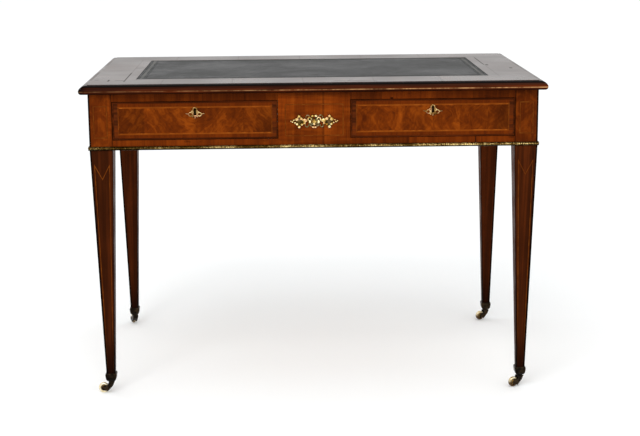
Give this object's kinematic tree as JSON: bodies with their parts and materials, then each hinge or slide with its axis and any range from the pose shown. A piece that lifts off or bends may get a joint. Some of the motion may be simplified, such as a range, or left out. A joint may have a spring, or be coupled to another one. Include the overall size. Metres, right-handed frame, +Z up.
{
  "type": "writing table",
  "caption": "Walnut writing table with a leather-lined moulded top, lockable frieze drawers, gilt brass mounts and square tapered legs on swivelling brass castors.",
  "frame": {"origin": "on the floor under the middle of the table's plan", "axes": "+X along the front to the sitter's right, -Y to the sitter, +Z up"},
  "size_m": [1.098, 0.698, 0.76],
  "materials": {
    "walnut": "french polished figured veneer",
    "leg_walnut": "french polished",
    "crossbanding": "polished, worn by use",
    "moulding": "french polished",
    "carcass_wood": "unfinished",
    "drawer_lining": "unfinished oak",
    "boxwood": "polished, flush inlay",
    "leather": "waxed skiver",
    "gilt_brass": "gilt",
    "bead_brass": "old lacquered",
    "wheel_brass": "polished by rolling",
    "dark_bronze": "dark patina",
    "steel": "dulled"
  },
  "bodies": {
    "table": {"top_core": "carcass_wood", "top_crossbanding": "crossbanding", "leather_inset": "leather", "top_moulding_front": "moulding", "top_moulding_back": "moulding", "top_moulding_left": "moulding", "top_moulding_right": "moulding", "leg_front_left": "leg_walnut", "leg_front_right": "leg_walnut", "leg_back_left": "leg_walnut", "leg_back_right": "leg_walnut", "apron_back": "walnut", "apron_left": "walnut", "apron_right": "walnut", "rail_upper": "walnut", "rail_lower": "walnut", "centre_panel": "walnut", "runners_left": "carcass_wood", "runners_right": "carcass_wood", "kickers": "carcass_wood", "drawer_stops": "carcass_wood", "brass_bead_front": "bead_brass", "brass_bead_back": "bead_brass", "brass_bead_left": "bead_brass", "brass_bead_right": "bead_brass", "centre_mount": "gilt_brass", "frame_stringing": "boxwood", "castor_cups": "dark_bronze", "glue_blocks": "carcass_wood"},
    "drawer_left": {"drawer_left_front": "walnut", "drawer_left_cockbead": "moulding", "drawer_left_sides": "drawer_lining", "drawer_left_back": "drawer_lining", "drawer_left_bottom": "drawer_lining", "drawer_left_stringing": "boxwood", "drawer_left_escutcheon": "gilt_brass", "drawer_left_lock": "bead_brass"},
    "bolt_left": {"drawer_left_bolt": "steel"},
    "drawer_right": {"drawer_right_front": "walnut", "drawer_right_cockbead": "moulding", "drawer_right_sides": "drawer_lining", "drawer_right_back": "drawer_lining", "drawer_right_bottom": "drawer_lining", "drawer_right_stringing": "boxwood", "drawer_right_escutcheon": "gilt_brass", "drawer_right_lock": "bead_brass"},
    "bolt_right": {"drawer_right_bolt": "steel"},
    "castor_front_left": {"castor_front_left_fork": "dark_bronze", "castor_front_left_axle": "dark_bronze"},
    "wheel_front_left": {"castor_front_left_wheel": "wheel_brass"},
    "castor_front_right": {"castor_front_right_fork": "dark_bronze", "castor_front_right_axle": "dark_bronze"},
    "wheel_front_right": {"castor_front_right_wheel": "wheel_brass"},
    "castor_back_left": {"castor_back_left_fork": "dark_bronze", "castor_back_left_axle": "dark_bronze"},
    "wheel_back_left": {"castor_back_left_wheel": "wheel_brass"},
    "castor_back_right": {"castor_back_right_fork": "dark_bronze", "castor_back_right_axle": "dark_bronze"},
    "wheel_back_right": {"castor_back_right_wheel": "wheel_brass"}
  },
  "joints": [
    {"name": "drawer_left_slide", "type": "slide", "parent": "table", "child": "drawer_left", "axis": [0, -1, 0], "range_m": [0, 0.36]},
    {"name": "bolt_left_throw", "type": "slide", "parent": "drawer_left", "child": "bolt_left", "axis": [0, 0, 1], "range_m": [0, 0.007]},
    {"name": "drawer_right_slide", "type": "slide", "parent": "table", "child": "drawer_right", "axis": [0, -1, 0], "range_m": [0, 0.36]},
    {"name": "bolt_right_throw", "type": "slide", "parent": "drawer_right", "child": "bolt_right", "axis": [0, 0, 1], "range_m": [0, 0.007]},
    {"name": "castor_front_left_swivel", "type": "hinge", "parent": "table", "child": "castor_front_left", "pos_m": [-0.5025, -0.3025, 0.0296], "axis": [0, 0, 1], "continuous": true},
    {"name": "wheel_front_left_spin", "type": "hinge", "parent": "castor_front_left", "child": "wheel_front_left", "pos_m": [-0.52145, -0.30383, 0.0125], "axis": [0.0698, -0.9976, 0], "continuous": true},
    {"name": "castor_front_right_swivel", "type": "hinge", "parent": "table", "child": "castor_front_right", "pos_m": [0.5025, -0.3025, 0.0296], "axis": [0, 0, 1], "continuous": true},
    {"name": "wheel_front_right_spin", "type": "hinge", "parent": "castor_front_right", "child": "wheel_front_right", "pos_m": [0.48557, -0.31113, 0.0125], "axis": [0.454, -0.891, 0], "continuous": true},
    {"name": "castor_back_left_swivel", "type": "hinge", "parent": "table", "child": "castor_back_left", "pos_m": [-0.5025, 0.3025, 0.0296], "axis": [0, 0, 1], "continuous": true},
    {"name": "wheel_back_left_spin", "type": "hinge", "parent": "castor_back_left", "child": "wheel_back_left", "pos_m": [-0.50931, 0.32024, 0.0125], "axis": [-0.9336, -0.3584, 0], "continuous": true},
    {"name": "castor_back_right_swivel", "type": "hinge", "parent": "table", "child": "castor_back_right", "pos_m": [0.5025, 0.3025, 0.0296], "axis": [0, 0, 1], "continuous": true},
    {"name": "wheel_back_right_spin", "type": "hinge", "parent": "castor_back_right", "child": "wheel_back_right", "pos_m": [0.48557, 0.29387, 0.0125], "axis": [0.454, -0.891, 0], "continuous": true}
  ]
}
